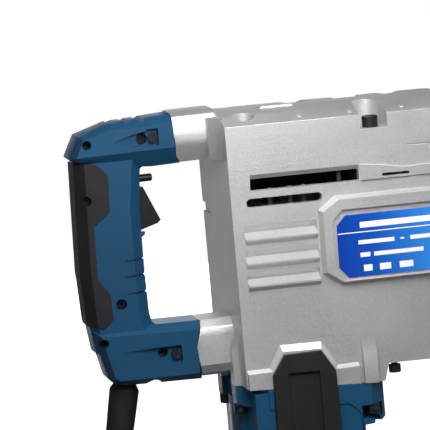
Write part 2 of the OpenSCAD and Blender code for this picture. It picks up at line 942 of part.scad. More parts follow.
retainer_x = 532;
retainer_z = axis_z + 18;
lever_x = 480;
module tool_holder() {
    color("gray")
        difference() {
            turned_x([
                [holder_x, 0], [holder_x, 31], [508, 31], [512, 33], [552, 33], [556, 30], [tip_x - 2, 28],
                [tip_x, 26], [tip_x, 0]
            ]);
            translate([holder_x - 1, 0, axis_z])
                rotate([0, 90, 0])
                    rotate([0, 0, 30])
                        cylinder(h = tip_x - holder_x - 9, d = hex_af / cos(30), $fn = 6);
            rod_x(tip_x - 10.5, tip_x + 1, 38, 0, axis_z);
            rod_y(-50, 50, 13.1, retainer_x, retainer_z);
        }
}

module tool_retainer() {
    color("dimgray")
        difference() {
            union() {
                rod_y(-40, 37.5, 13, retainer_x, retainer_z);
                rod_y(-46, -35, 22, retainer_x, retainer_z);
                slab(
                    [[retainer_x, retainer_z - 9], [retainer_x, retainer_z + 9], [lever_x, retainer_z + 5],
                     [lever_x, retainer_z - 5]],
                    -46, -37
                );
                rod_y(-48, -35.5, 15, lever_x, retainer_z);
            }
            box(retainer_x - 8, retainer_x + 8, -16, 16, retainer_z + 3, retainer_z + 8);
        }
}

module retainer_clip() {
    color("silver")
        difference() {
            rod_y(33.4, 35.4, 20, retainer_x, retainer_z);
            rod_y(33, 36, 13, retainer_x, retainer_z);
        }
}

module nose_buffer() {
    color("dimgray")
        tube_x(holder_x + 0.2, holder_x + 14, 76, 62);
}

module cylinder_sleeve() {
    color("silver")
        tube_x(84, 311.5, sleeve_d, cyl_bore);
}

module piston() {
    color("silver")
        difference() {
            rod_x(piston_rear, piston_rear + 50, cyl_bore - 0.1, 0, axis_z);
            box(piston_rear - 1, wrist_x + 12.5, -16, 16, axis_z - 9, axis_z + 9);
            rod_z(axis_z - 30, axis_z + 30, 12, wrist_x);
            for (x = [piston_rear + 36, piston_rear + 43])
                tube_x(x, x + 2.5, cyl_bore + 2, cyl_bore - 4);
        }
}

module wrist_pin() {
    color("gray")
        rod_z(axis_z - 20, axis_z + 20, 12, wrist_x);
}

big_end_x = crank_x - crank_r;
module con_rod() {
    color("silver")
        difference() {
            union() {
                rod_z(axis_z - 8, axis_z + 8, 26, big_end_x);
                rod_z(axis_z - 8, axis_z + 8, 21, wrist_x);
                box(big_end_x, wrist_x, -6, 6, axis_z - 5, axis_z + 5);
            }
            rod_z(axis_z - 9, axis_z + 9, 12.6, big_end_x);
            rod_z(axis_z - 9, axis_z + 9, 12.1, wrist_x);
        }
}

module ram() {
    color("gray")
        difference() {
            turned_x([
                [240, 0], [240, cyl_bore / 2 - 0.05], [288, cyl_bore / 2 - 0.05], [292, 20], [300, 20],
                [300, 0]
            ]);
            tube_x(250, 253, cyl_bore + 2, cyl_bore - 4);
        }
}

module impact_bolt() {
    color("gray")
        turned_x([[312, 0], [312, 18], [314, 20], [340, 20], [343, 15], [444, 15], [446, 13], [446, 0]]);
}

// Involute-like teeth: straight flanks that narrow towards the tip, cut with generous backlash.
module spur(teeth, z0, z1, bore, phase, x) {
    r = gear_module * teeth / 2;
    step = 360 / teeth;
    translate([x, 0, z0])
        rotate([0, 0, phase])
            linear_extrude(z1 - z0)
                difference() {
                    polygon([
                        for (i = [0 : teeth - 1])
                            for (p = [[-0.33, -1.3], [-0.19, 0], [-0.07, 0.75], [0.07, 0.75],
                                      [0.19, 0], [0.33, -1.3]])
                                let (a = step * (i + p[0]), q = r + p[1] * gear_module)
                                [q * cos(a), q * sin(a)]
                    ]);
                    circle(d = bore);
                }
}

module crank_gear() {
    color("gray")
        spur(gear_teeth, 158, 172, 15, 180, crank_x);
}

module motor_shaft() {
    color("silver") {
        rod_z(8, 156, 8);
        spur(pinion_teeth, 156, 174, 1, 18, 0);
    }
}

module crankshaft() {
    color("gray") {
        rod_z(147, 202, 15, crank_x);
        rod_z(202, 214, 56, crank_x);
        rod_z(214, axis_z - 8.5, 12, big_end_x);
    }
}

module bearing(z0, z1, d, bore, x = 0) {
    tube_z(z0, z1, d, bore, x);
}

module crank_bearings() {
    color("silver")
        bearing(146, 155, 32, 15.04, crank_x);
}

module motor_bearings() {
    color("silver") {
        bearing(8, 15, 22, 8.04);
        bearing(146, 154, 26, 8.04);
    }
}

module gear_plate() {
    color("silver")
        difference() {
            box(-37.8, 110, -45.8, 45.8, 146, 154);
            rod_z(140, 160, 26);
            rod_z(140, 160, 32, crank_x);
            for (a = [40 : 40 : 320])
                rotate([0, 0, a])
                    rod_z(140, 160, 9, -30, 0);
        }
}

module stator_core() {
    color("gray")
        difference() {
            rod_z(66, 118, 91.8);
            rod_z(60, 120, 54);
        }
}

module field_coils() {
    color("chocolate") {
        tube_z(57, 66, 84, 60);
        tube_z(118, 127, 84, 60);
    }
}

module armature_core() {
    color("gray")
        difference() {
            rod_z(62, 122, 52);
            rod_z(60, 124, 8);
            for (a = [0 : 30 : 330])
                rotate([0, 0, a])
                    box(21, 27, -1.2, 1.2, 60, 124);
        }
}

module armature_windings() {
    color("chocolate") {
        tube_z(55, 62, 46, 8);
        tube_z(122, 128, 46, 8);
    }
}

module commutator() {
    color("goldenrod")
        tube_z(33, 54, 32, 8);
}

module cooling_fan() {
    color("dimgray")
        difference() {
            union() {
                rod_z(130, 132, 88);
                rod_z(132, 140, 20);
                for (a = [0 : 30 : 330])
                    rotate([0, 0, a])
                        box(9, 43, -0.8, 0.8, 131, 140);
            }
            rod_z(120, 150, 8);
        }
}

module brush_holders() {
    color("goldenrod")
        for (s = side_signs)
            difference() {
                box(s > 0 ? 17 : -44, s > 0 ? 44 : -17, -6, 6, 37, 51);
                box(-46, 46, -4, 4, 39, 49);
            }
}

module carbon_brushes() {
    color("dimgray")
        for (s = side_signs)
            box(s > 0 ? 16.1 : -36, s > 0 ? 36 : -16.1, -4, 4, 39, 49);
}

module brush_caps() {
    color("dimgray")
        for (s = side_signs)
            difference() {
                rod_x(s > 0 ? 45.5 : -51, s > 0 ? 51 : -45.5, 16, 0, 44);
                box(s > 0 ? 49.6 : -52, s > 0 ? 52 : -49.6, -6, 6, 43, 45);
            }
}

// The auxiliary loop handle swings round the barrel on its clamp band.
module handle_band() {
    color("dimgray")
        difference() {
            union() {
                tube_x(loop_x - 11, loop_x + 11, barrel_d + 16, barrel_d + 0.6);
                difference() {
                    box(loop_x - 11, loop_x + 11, -68, 68, 172, 190);
                    rod_x(loop_x - 12, loop_x + 12, barrel_d + 0.6, 0, axis_z);
                }
            }
            rod_z(160, 187, 10.1, loop_x, 0);
            for (s = side_signs)
                rod_z(160, 182, 14, loop_x, 58 * s);
        }
}

module loop_frame() {
    color("silver") {
        for (s = side_signs)
            rod_z(17, 182, 14, loop_x, 58 * s);
        rod_y(-58, 58, 14, loop_x, 17);
        for (s = side_signs)
            translate([loop_x, 58 * s, 17])
                sphere(d = 14);
    }
}

module loop_grip() {
    color("dimgray")
        difference() {
            union() {
                rod_y(-50, 50, 30, loop_x, 17);
                for (y = [-50, 44])
                    rod_y(y, y + 6, 34, loop_x, 17);
                for (y = [-32 : 16 : 32])
                    rod_y(y - 3, y + 3, 33, loop_x, 17);
            }
            rod_y(-60, 60, 14, loop_x, 17);
        }
}

module clamp_knob() {
    color("black")
        difference() {
            union() {
                rod_z(148, 166, 44, loop_x, 0);
                rod_z(166, 171, 22, loop_x, 0);
                rod_z(171, 184, 10, loop_x, 0);
            }
            for (a = [0 : 60 : 300])
                translate([loop_x, 0, 0])
                    rotate([0, 0, a])
                        rod_z(147, 167, 14, 26, 0);
        }
}

main_housing();
upper_housing();
nameplate();
barrel();
nose();
tool_holder();
tool_retainer();
retainer_clip();
nose_buffer();
handle_shell_left();
handle_shell_right();
grip_pad();
upper_arm();
lower_arm();
damper_pins();
damper_springs();
trigger();
lock_button();
switch_body();
trigger_pin();
cord_guard();
power_cord();
cord_coil();
plug_lead();
plug_body();
plug_blades();
motor_cover();
side_bumpers();
motor_end_cap();
stator_core();
field_coils();
armature_core();
armature_windings();
commutator();
cooling_fan();
motor_shaft();
motor_bearings();
brush_holders();
carbon_brushes();
brush_caps();
crank_gear();
crankshaft();
crank_bearings();
gear_plate();
con_rod();
wrist_pin();
piston();
cylinder_sleeve();
ram();
impact_bolt();
handle_band();
loop_frame();
loop_grip();
clamp_knob();
handle_screws();
motor_bolts();
cover_bolts();
underside_bolts();
nose_bolts();
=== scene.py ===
"""Electric demolition hammer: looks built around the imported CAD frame."""
import json
import math

import bmesh
import bpy
from mathutils import Matrix, Vector


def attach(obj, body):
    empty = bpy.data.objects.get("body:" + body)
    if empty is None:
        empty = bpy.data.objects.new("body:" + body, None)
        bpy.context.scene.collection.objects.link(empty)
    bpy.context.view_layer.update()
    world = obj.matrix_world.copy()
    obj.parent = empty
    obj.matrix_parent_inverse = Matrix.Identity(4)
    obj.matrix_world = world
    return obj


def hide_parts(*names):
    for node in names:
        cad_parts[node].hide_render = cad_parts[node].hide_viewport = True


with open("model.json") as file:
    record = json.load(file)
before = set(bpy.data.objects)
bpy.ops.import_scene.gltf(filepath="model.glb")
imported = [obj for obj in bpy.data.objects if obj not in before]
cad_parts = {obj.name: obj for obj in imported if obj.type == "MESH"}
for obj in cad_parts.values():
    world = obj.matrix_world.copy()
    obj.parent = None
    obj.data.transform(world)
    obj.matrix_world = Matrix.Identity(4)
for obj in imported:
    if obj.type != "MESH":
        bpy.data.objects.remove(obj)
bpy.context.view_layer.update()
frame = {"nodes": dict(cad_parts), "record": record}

NODES = frame["nodes"]
MM = 0.001
SIDES = (-1, 1)
BODY_OF = {node: body for body, names in frame["record"]["behaviour"]["bodies"].items() for node in names}

# The castings' own frame: its origin is the upper rear edge, and its long edges slope forward.
REAR_X = -46 * MM
BODY_TOP = 330 * MM
TILT = math.radians(0.9)
TILTED = Matrix.Translation((REAR_X, 0, BODY_TOP)) @ Matrix.Rotation(TILT, 4, "Y")


def link(obj):
    bpy.context.scene.collection.objects.link(obj)
    return obj


# ---------------------------------------------------------------- camera
VIEW_AZIMUTH = math.radians(-12)
VIEW_ELEVATION = math.radians(8)
VIEW_ROLL = math.radians(5.1)
VIEW_DISTANCE = 2.6
VIEW_TARGET = Vector((-0.0608, -0.0593, 0.2646))
VIEW_LENS = 283


def make_camera():
    """Aims the camera from its azimuth and elevation, then rolls it about its own axis."""
    back = Vector((
        math.sin(VIEW_AZIMUTH) * math.cos(VIEW_ELEVATION),
        -math.cos(VIEW_AZIMUTH) * math.cos(VIEW_ELEVATION),
        math.sin(VIEW_ELEVATION),
    ))
    level = Vector((math.cos(VIEW_AZIMUTH), math.sin(VIEW_AZIMUTH), 0))
    upright = back.cross(level)
    right = math.cos(VIEW_ROLL) * level - math.sin(VIEW_ROLL) * upright
    up = math.sin(VIEW_ROLL) * level + math.cos(VIEW_ROLL) * upright
    data = bpy.data.cameras.new("camera")
    data.lens = VIEW_LENS
    data.clip_end = 60
    camera = link(bpy.data.objects.new("camera", data))
    place = Matrix((right, up, back)).transposed().to_4x4()
    place.translation = VIEW_TARGET + back * VIEW_DISTANCE
    camera.matrix_world = place
    bpy.context.scene.camera = camera


# ---------------------------------------------------------------- materials
class Nodes:
    """A material's node tree, with short calls that add and join nodes."""

    def __init__(self, name, colour, rough, metal=0.0):
        self.material = bpy.data.materials.new(name)
        self.material.use_nodes = True
        self.material.diffuse_color = (*colour, 1)
        self.tree = self.material.node_tree
        self.shader = self.tree.nodes["Principled BSDF"]
        self.shader.inputs["Base Color"].default_value = (*colour, 1)
        self.shader.inputs["Roughness"].default_value = rough
        self.shader.inputs["Metallic"].default_value = metal
        self.place = self.add("ShaderNodeTexCoord").outputs["Object"]

    def add(self, kind, **values):
        node = self.tree.nodes.new(kind)
        for key, value in values.items():
            if key in node.inputs:
                node.inputs[key].default_value = value
            else:
                setattr(node, key, value)
        return node

    def join(self, out, into):
        self.tree.links.new(out, into)

    def noise(self, scale, detail=4.0, rough=0.55, stretch=None):
        place = self.place
        if stretch:
            mapping = self.add("ShaderNodeMapping")
            mapping.inputs["Scale"].default_value = stretch
            self.join(place, mapping.inputs["Vector"])
            place = mapping.outputs["Vector"]
        node = self.add("ShaderNodeTexNoise", Scale=scale, Detail=detail, Roughness=rough)
        self.join(place, node.inputs["Vector"])
        return node.outputs["Fac"]

    def ramp(self, fac, stops):
        node = self.add("ShaderNodeValToRGB")
        band = node.color_ramp
        while len(band.elements) < len(stops):
            band.elements.new(0.5)
        for element, (at, colour) in zip(band.elements, stops):
            element.position = at
            element.color = (*colour, 1)
        self.join(fac, node.inputs["Fac"])
        return node.outputs["Color"]

    def mix(self, fac, a, b):
        node = self.add("ShaderNodeMix", data_type="RGBA")
        self.join(fac, node.inputs["Factor"])
        self.join(a, node.inputs[6])
        self.join(b, node.inputs[7])
        return node.outputs[2]

    def colour(self, out):
        self.join(out, self.shader.inputs["Base Color"])
        return self

    def roughness(self, fac, low, high):
        node = self.add("ShaderNodeMapRange")
        node.inputs["To Min"].default_value = low
        node.inputs["To Max"].default_value = high
        self.join(fac, node.inputs["Value"])
        self.join(node.outputs["Result"], self.shader.inputs["Roughness"])
        return self

    def bump(self, layers):
        """layers: (height, distance in metres, strength), finest last."""
        normal = None
        for height, distance, strength in layers:
            node = self.add("ShaderNodeBump", Distance=distance, Strength=strength)
            self.join(height, node.inputs["Height"])
            if normal:
                self.join(normal, node.inputs["Normal"])
            normal = node.outputs["Normal"]
        self.join(normal, self.shader.inputs["Normal"])
        return self


def shade(colour, k):
    return tuple(min(1.0, c * k) for c in colour)


def cast_metal(name, colour, rough=0.5, metal=0.75, grain=1.0):
    m = Nodes(name, colour, rough, metal)
    cloud = m.noise(14, 5)
    fine = m.noise(900, 3)
    brushed = m.noise(260, 3, stretch=(0.06, 1, 1))
    m.colour(m.mix(
        m.noise(38, 6),
        m.ramp(cloud, [(0.3, shade(colour, 0.86)), (0.7, shade(colour, 1.08))]),
        m.ramp(fine, [(0.3, shade(colour, 0.8)), (0.7, shade(colour, 1.12))]),
    ))
    m.roughness(cloud, rough - 0.06, rough + 0.1)
    m.bump([
        (m.noise(90, 4), 0.0008, 0.25 * grain),
        (brushed, 0.0003, 0.35 * grain),
        (fine, 0.0003, 0.6 * grain),
    ])
    return m.material


def plastic(name, colour, rough=0.42, grain=0.5):
    m = Nodes(name, colour, rough)
    m.shader.inputs["Specular IOR Level"].default_value = 0.36
    cloud = m.noise(9, 4)
    fine = m.noise(1500, 2)
    m.colour(m.ramp(cloud, [(0.25, shade(colour, 0.88)), (0.75, shade(colour, 1.12))]))
    m.roughness(m.noise(45, 5), rough - 0.05, rough + 0.1)
    m.bump([(m.noise(120, 3), 0.0003, 0.15), (fine, 0.00025, grain)])
    return m.material


def rubber(name, colour=(0.0095, 0.0095, 0.011), rough=0.58):
    m = Nodes(name, colour, rough)
    m.shader.inputs["Specular IOR Level"].default_value = 0.32
    dust = m.noise(30, 6)
    m.colour(m.ramp(dust, [(0.35, colour), (0.8, shade(colour, 1.7))]))
    m.roughness(m.noise(80, 4), rough - 0.07, rough + 0.1)
    m.bump([(m.noise(160, 4), 0.0004, 0.25), (m.noise(1900, 2), 0.0002, 0.6)])
    return m.material


def steel(name, colour, rough=0.3, stretch=(1, 1, 0.1)):
    m = Nodes(name, colour, rough, 1.0)
    lines = m.noise(700, 3, stretch=stretch)
    m.colour(m.ramp(m.noise(60, 5), [(0.3, shade(colour, 0.8)), (0.7, shade(colour, 1.15))]))
    m.roughness(lines, rough - 0.08, rough + 0.14)
    m.bump([(lines, 0.0002, 0.35)])
    return m.material


def black_oxide(name):
    m = Nodes(name, (0.03, 0.03, 0.033), 0.38, 0.6)
    wear = m.noise(220, 6)
    m.colour(m.ramp(wear, [(0.55, (0.025, 0.025, 0.028)), (0.78, (0.12, 0.115, 0.11))]))
    m.roughness(m.noise(300, 4), 0.3, 0.52)
    m.bump([(m.noise(500, 3), 0.0002, 0.4)])
    return m.material


def copper_wire(name):
    m = Nodes(name, (0.55, 0.2, 0.07), 0.32, 0.9)
    wave = m.add("ShaderNodeTexWave", Scale=420, Distortion=2.0, bands_direction="Z")
    m.join(m.place, wave.inputs["Vector"])
    m.colour(m.ramp(wave.outputs["Fac"], [(0.2, (0.28, 0.08, 0.03)), (0.8, (0.68, 0.27, 0.1))]))
    m.roughness(m.noise(100, 3), 0.25, 0.45)
    m.bump([(wave.outputs["Fac"], 0.0005, 0.8)])
    return m.material


def laminated(name):
    m = Nodes(name, (0.2, 0.2, 0.21), 0.45, 0.85)
    wave = m.add("ShaderNodeTexWave", Scale=600, Distortion=0.0, bands_direction="Z")
    m.join(m.place, wave.inputs["Vector"])
    m.colour(m.ramp(wave.outputs["Fac"], [(0.3, (0.11, 0.11, 0.12)), (0.7, (0.26, 0.25, 0.25))]))
    m.roughness(m.noise(90, 3), 0.35, 0.55)
    m.bump([(wave.outputs["Fac"], 0.0002, 0.6)])
    return m.material


LABEL_LEFT = 30 * MM
LABEL_RIGHT = 175 * MM


def label_film():
    m = Nodes("label_film", (0.02, 0.12, 0.5), 0.22)
    split = m.add("ShaderNodeSeparateXYZ")
    m.join(m.place, split.inputs["Vector"])
    span = m.add("ShaderNodeMapRange")
    span.inputs["From Min"].default_value = LABEL_LEFT
    span.inputs["From Max"].default_value = LABEL_RIGHT
    m.join(split.outputs["X"], span.inputs["Value"])
    m.colour(m.ramp(span.outputs["Result"], [
        (0.0, (0.004, 0.036, 0.32)), (0.22, (0.006, 0.07, 0.42)),
        (0.6, (0.03, 0.24, 0.7)), (1.0, (0.09, 0.42, 0.8)),
    ]))
    m.roughness(m.noise(60, 3), 0.18, 0.3)
    m.bump([(m.noise(900, 2), 0.0001, 0.25)])
    m.shader.inputs["Coat Weight"].default_value = 0.12
    m.shader.inputs["Specular IOR Level"].default_value = 0.3
    return m.material


def pale_floor(name):
    """A matt white sweep that gives back a little light of its own, so it stays white far off."""
    m = Nodes(name, (0.86, 0.86, 0.865), 0.9)
    m.shader.inputs["Specular IOR Level"].default_value = 0.1
    m.shader.inputs["Emission Color"].default_value = (1, 1, 1, 1)
    m.shader.inputs["Emission Strength"].default_value = 0.9
    return m.material


BLUE = (0.005, 0.054, 0.12)
# The motor cover's own blue, lightened to make up for the shade under the housing's overhang: its own colour
# with painted light on top.
MOTOR_BLUE_PAINTED_LIGHT = (0.006, 0.066, 0.145)
SILVER = (0.6, 0.588, 0.596)


def make_materials():
    return {
        "cast_aluminium": cast_metal("cast_aluminium", SILVER),
        # A lighter copy of the casting for the rounded edges: a painted highlight.
        "cast_painted_highlight": cast_metal("cast_painted_highlight", (0.86, 0.85, 0.86), 0.4, 0.8, 0.4),
        # A near-black copy of the casting for the housings' insides: painted shade.
        "cast_inside_painted_shade": cast_metal("cast_inside_painted_shade", (0.03, 0.03, 0.031), 0.75, 0.2),
        "blue_plastic": plastic("blue_plastic", BLUE),
        # A lighter copy of the blue for the rounded edges: a painted highlight.
        "blue_painted_highlight": plastic("blue_painted_highlight", shade(BLUE, 1.35), 0.38, 0.3),
        "motor_blue": plastic("motor_blue", MOTOR_BLUE_PAINTED_LIGHT, 0.4),
        "black_rubber": rubber("black_rubber"),
        "black_plastic": plastic("black_plastic", (0.011, 0.011, 0.012), 0.36),
        "black_steel": black_oxide("black_steel"),
        "bright_steel": steel("bright_steel", (0.62, 0.61, 0.6)),
        "forged_steel": steel("forged_steel", (0.2, 0.2, 0.21), 0.4, (0.1, 1, 1)),
        "core_steel": laminated("core_steel"),
        "copper": copper_wire("copper"),
        "brass": steel("brass", (0.7, 0.47, 0.18), 0.3),
        "carbon": plastic("carbon", (0.03, 0.03, 0.031), 0.55),
        "label_film": label_film(),
        "label_ink": plastic("label_ink", (0.86, 0.88, 0.9), 0.3, 0.1),
        "cable_rubber": rubber("cable_rubber", (0.009, 0.009, 0.01), 0.46),
        "floor": pale_floor("floor"),
    }


SLOT_OF = {part["node"]: part["material_slot"] for part in frame["record"]["subparts"]}
# The lighter copy of each material that its rounded edges wear: a painted highlight.
EDGE_HIGHLIGHT_OF = {"cast_aluminium": "cast_painted_highlight", "blue_plastic": "blue_painted_highlight"}


# ---------------------------------------------------------------- mesh helpers
def finish_mesh(obj, bm, materials, smooth_angle=32):
    bm.normal_update()
    bm.to_mesh(obj.data)
    bm.free()
    for material in materials:
        obj.data.materials.append(material)
    obj.data.shade_smooth()
    obj.data.set_sharp_from_angle(angle=math.radians(smooth_angle))
    even = obj.modifiers.new("even_normals", "WEIGHTED_NORMAL")
    even.keep_sharp = True
    even.weight = 80
    return obj


def new_piece(name, bm, materials, smooth_angle=32):
    obj = link(bpy.data.objects.new(name, bpy.data.meshes.new(name)))
    return finish_mesh(obj, bm, materials, smooth_angle)


def settle(piece, body, replaced=()):
    """Hangs a piece on its body and hides the CAD nodes that it stands for."""
    if replaced:
        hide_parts(*replaced)
    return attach(piece, body)


# The housings' hollow, whose faces get painted shade, in the castings' own frame: lowest and highest X, half
# the width, and the ceiling.
HOLLOW_X = (5.5 * MM, 250 * MM)
HOLLOW_HALF_W = 47.4 * MM
HOLLOW_TOP = -7.6 * MM
HOLLOW_FLOOR = 141 * MM
HOLLOW_NODES = ("upper_housing", "main_housing")


def is_inside(vert):
    """Whether a corner of a housing lies in its hollow."""
    spot = TILTED.inverted() @ vert.co
    return (
        HOLLOW_X[0] < spot.x < HOLLOW_X[1] and abs(spot.y) < HOLLOW_HALF_W and spot.z < HOLLOW_TOP
        and vert.co.z > HOLLOW_FLOOR
    )


MERGE_DISTANCE = 2e-6
SLIVER_LENGTH = 4e-6
FLAT_ANGLE = math.radians(0.6)
SHARP_ANGLE = math.radians(28)


def rounded_copy(node, width, materials, edge=None, segments=2):
    """A copy of a CAD node's surface with every hard edge rounded, as a casting or moulding has; the rounds
    can take a lighter painted-highlight material, and a housing's hollow takes near-black painted shade.
    """
    bm = bmesh.new()
    bm.from_mesh(NODES[node].data)
    bmesh.ops.remove_doubles(bm, verts=bm.verts, dist=MERGE_DISTANCE)
    bmesh.ops.dissolve_limit(bm, angle_limit=FLAT_ANGLE, verts=bm.verts, edges=bm.edges)
    bmesh.ops.dissolve_degenerate(bm, dist=SLIVER_LENGTH, edges=bm.edges)
    bm.normal_update()
    for face in bm.faces:
        face.material_index = 0
    hard = [e for e in bm.edges if len(e.link_faces) == 2 and e.calc_face_angle(0) > SHARP_ANGLE]
    # The rounds take the edge material when one is given: a lighter copy of the base, a painted highlight.
    if hard and width > 0:
        bmesh.ops.bevel(
            bm, geom=hard, offset=width, offset_type="OFFSET", segments=segments, profile=0.6, affect="EDGES",
            clamp_overlap=True, material=1 if edge else 0,
        )
    slot = SLOT_OF[node]
    used = [materials[slot]] + ([materials[edge]] if edge else [])
    # Faces in a housing's hollow take a near-black copy of the casting, painted shade that darkens the slots.
    if node in HOLLOW_NODES:
        for face in bm.faces:
            if all(is_inside(vert) for vert in face.verts):
                face.material_index = len(used)
        used.append(materials["cast_inside_painted_shade"])
    piece = new_piece(node + "_body", bm, used)
    return settle(piece, BODY_OF[node], [node])


def axes_to(axis):
    """The turn that sends +Z to an axis."""
    return Vector((0, 0, 1)).rotation_difference(Vector(axis)).to_matrix().to_4x4()


def turned(bm, profile, place=Matrix(), steps=40):
    """Adds a closed body of revolution about local Z from (radius, height) points."""
    rings = []
    for radius, height in profile:
        if radius < 1e-7:
            rings.append([bm.verts.new(place @ Vector((0, 0, height)))])
            continue
        rings.append([
            bm.verts.new(place @ Vector((
                radius * math.cos(2 * math.pi * k / steps), radius * math.sin(2 * math.pi * k / steps), height
            ))) for k in range(steps)
        ])
    for low, high in zip(rings, rings[1:]):
        for k in range(steps):
            n = (k + 1) % steps
            corners = [low[k % len(low)], low[n % len(low)], high[n % len(high)], high[k % len(high)]]
            unique = list(dict.fromkeys(corners))
            if len(unique) > 2:
                bm.faces.new(unique)
    return bm


def prism(bm, outline, depth, place=Matrix()):
    """Adds a closed prism from a flat outline in local X and Y, depth up local Z."""
    low = [bm.verts.new(place @ Vector((x, y, 0))) for x, y in outline]
    high = [bm.verts.new(place @ Vector((x, y, depth))) for x, y in outline]
    count = len(outline)
    bm.faces.new(list(reversed(low)))
    bm.faces.new(high)
    for k in range(count):
        n = (k + 1) % count
        bm.faces.new([low[k], low[n], high[n], high[k]])
    return bm


def socket_screw(bm, place, d, height, across, shank=0.0, shank_d=0.0):
    """A socket-head screw: bevelled cylinder head with a hexagonal recess, and its shank below."""
    r = d / 2
    rim = 0.07 * d
    steps = 36
    hex_r = across / 2 / math.cos(math.radians(30))
    outer = [(r, 0), (r, height - rim), (r - 0.3 * rim, height - 0.3 * rim), (r - rim, height)]
    rings = []
    for radius, z in outer:
        rings.append([
            bm.verts.new(place @ Vector((
                radius * math.cos(2 * math.pi * k / steps), radius * math.sin(2 * math.pi * k / steps), z
            ))) for k in range(steps)
        ])
    for z in (height, height * 0.35):
        ring = []
        for k in range(steps):
            a = 2 * math.pi * k / steps
            reach = hex_r * math.cos(math.pi / 6) / math.cos((a % (math.pi / 3)) - math.pi / 6)
            ring.append(bm.verts.new(place @ Vector((reach * math.cos(a), reach * math.sin(a), z))))
        rings.append(ring)
    for low, high in zip(rings, rings[1:]):
        for k in range(steps):
            n = (k + 1) % steps
            bm.faces.new([low[k], low[n], high[n], high[k]])
    bm.faces.new(rings[-1])
    if shank:
        foot = [
            bm.verts.new(place @ Vector((
                shank_d / 2 * math.cos(2 * math.pi * k / steps),
                shank_d / 2 * math.sin(2 * math.pi * k / steps),
                z,
            ))) for z in (0, -shank) for k in range(steps)
        ]
        for k in range(steps):
            n = (k + 1) % steps
            bm.faces.new([rings[0][k], foot[k], foot[n], rings[0][n]])
            bm.faces.new([foot[k], foot[steps + k], foot[steps + n], foot[n]])
        bm.faces.new(foot[steps:])
    else:
        bm.faces.new(list(reversed(rings[0])))
    return bm


def islands(node):
    """The lowest and highest corners of each separate solid in a CAD node."""
    bm = bmesh.new()
    bm.from_mesh(NODES[node].data)
    bmesh.ops.remove_doubles(bm, verts=bm.verts, dist=MERGE_DISTANCE)
    left = set(bm.verts)
    boxes = []
    while left:
        seed = left.pop()
        group = [seed]
        stack = [seed]
        while stack:
            for edge in stack.pop().link_edges:
                for vert in edge.verts:
                    if vert in left:
                        left.remove(vert)
                        group.append(vert)
                        stack.append(vert)
        low = Vector([min(v.co[i] for v in group) for i in range(3)])
        high = Vector([max(v.co[i] for v in group) for i in range(3)])
        boxes.append((low, high))
    bm.free()
    return sorted(boxes, key=lambda b: tuple(round(c, 5) for c in b[0]))


# ---------------------------------------------------------------- cord
CORD_D = 9.5 * MM
CORD_R = CORD_D / 2
GUARD_TOP = Vector((-132.4, 0, 132)) * MM
GUARD_TILT = math.radians(11.6)
GUARD_LENGTH = 56 * MM
CORD_EXIT = GUARD_TOP - Vector((math.sin(GUARD_TILT), 0, math.cos(GUARD_TILT))) * GUARD_LENGTH
FLOOR_RUN = [
    (-145, 0, 71), (-147, 0, 62), (-150, 0, 53), (-155, 0, 43), (-162, 0, 33), (-171, 0, 24), (-182, 0, 16),
    (-195, 0, 10), (-209, 0, 6.2), (-223, 0, 4.75), (-236, 0, 4.75), (-250, 0, 4.75), (-258, 0, 4.75),
    (-274, 0, 4.75),
]
LEAD_Y = 136.5
LEAD_RUN = [
    (-260, LEAD_Y, 14.25), (-250, LEAD_Y, 14.2), (-240, LEAD_Y, 13.7), (-230, LEAD_Y, 13), (-222, LEAD_Y, 13),
]
COIL_CENTRE = Vector((-290, LEAD_Y / 2, 0)) * MM
COIL_INNER = 35 * MM
COIL_COLUMNS = 4
STEPS_A_TURN = 32
# The part of each turn after which it steps over to the next one.
STEP_OVER = 0.7
TURN_RADII = [COIL_INNER + CORD_R + CORD_D * k for k in range(COIL_COLUMNS)]


def coil_points():
    """Eight turns less a half: one flat layer that winds in, and one on it that winds out to the plug."""
    points = []
    order = list(reversed(TURN_RADII)) + TURN_RADII
    for turn, radius in enumerate(order):
        last = turn == len(order) - 1
        following = radius if last else order[turn + 1]
        low = CORD_R if turn < COIL_COLUMNS else CORD_R + CORD_D
        rise = CORD_D if turn == COIL_COLUMNS - 1 else 0.0
        for k in range(STEPS_A_TURN // 2 + 1 if last else STEPS_A_TURN):
            part = k / STEPS_A_TURN
            ease = max(0.0, (part - STEP_OVER) / (1 - STEP_OVER))
            ease = ease * ease * (3 - 2 * ease)
            reach = radius + (following - radius) * ease
            angle = -math.pi / 2 - 2 * math.pi * part
            points.append(COIL_CENTRE + Vector((
                reach * math.cos(angle), reach * math.sin(angle), low + rise * ease
            )))
    return points


def tube_mesh(name, points, radius, materials, sides=16):
    """A closed round tube along the points, its rings square to the path."""
    bm = bmesh.new()
    rings = []
    side = Vector((0, 1, 0))
    for i, point in enumerate(points):
        ahead = (points[min(i + 1, len(points) - 1)] - points[max(i - 1, 0)]).normalized()
        side = (side - ahead * side.dot(ahead)).normalized()
        other = ahead.cross(side)
        rings.append([
            bm.verts.new(point + radius * (
                side * math.cos(2 * math.pi * k / sides) + other * math.sin(2 * math.pi * k / sides)
            )) for k in range(sides)
        ])
    for low, high in zip(rings, rings[1:]):
        for k in range(sides):
            n = (k + 1) % sides
            bm.faces.new([low[k], low[n], high[n], high[k]])
    bm.faces.new(list(reversed(rings[0])))
    bm.faces.new(rings[-1])
    bmesh.ops.recalc_face_normals(bm, faces=bm.faces)
    return new_piece(name, bm, materials, 50)


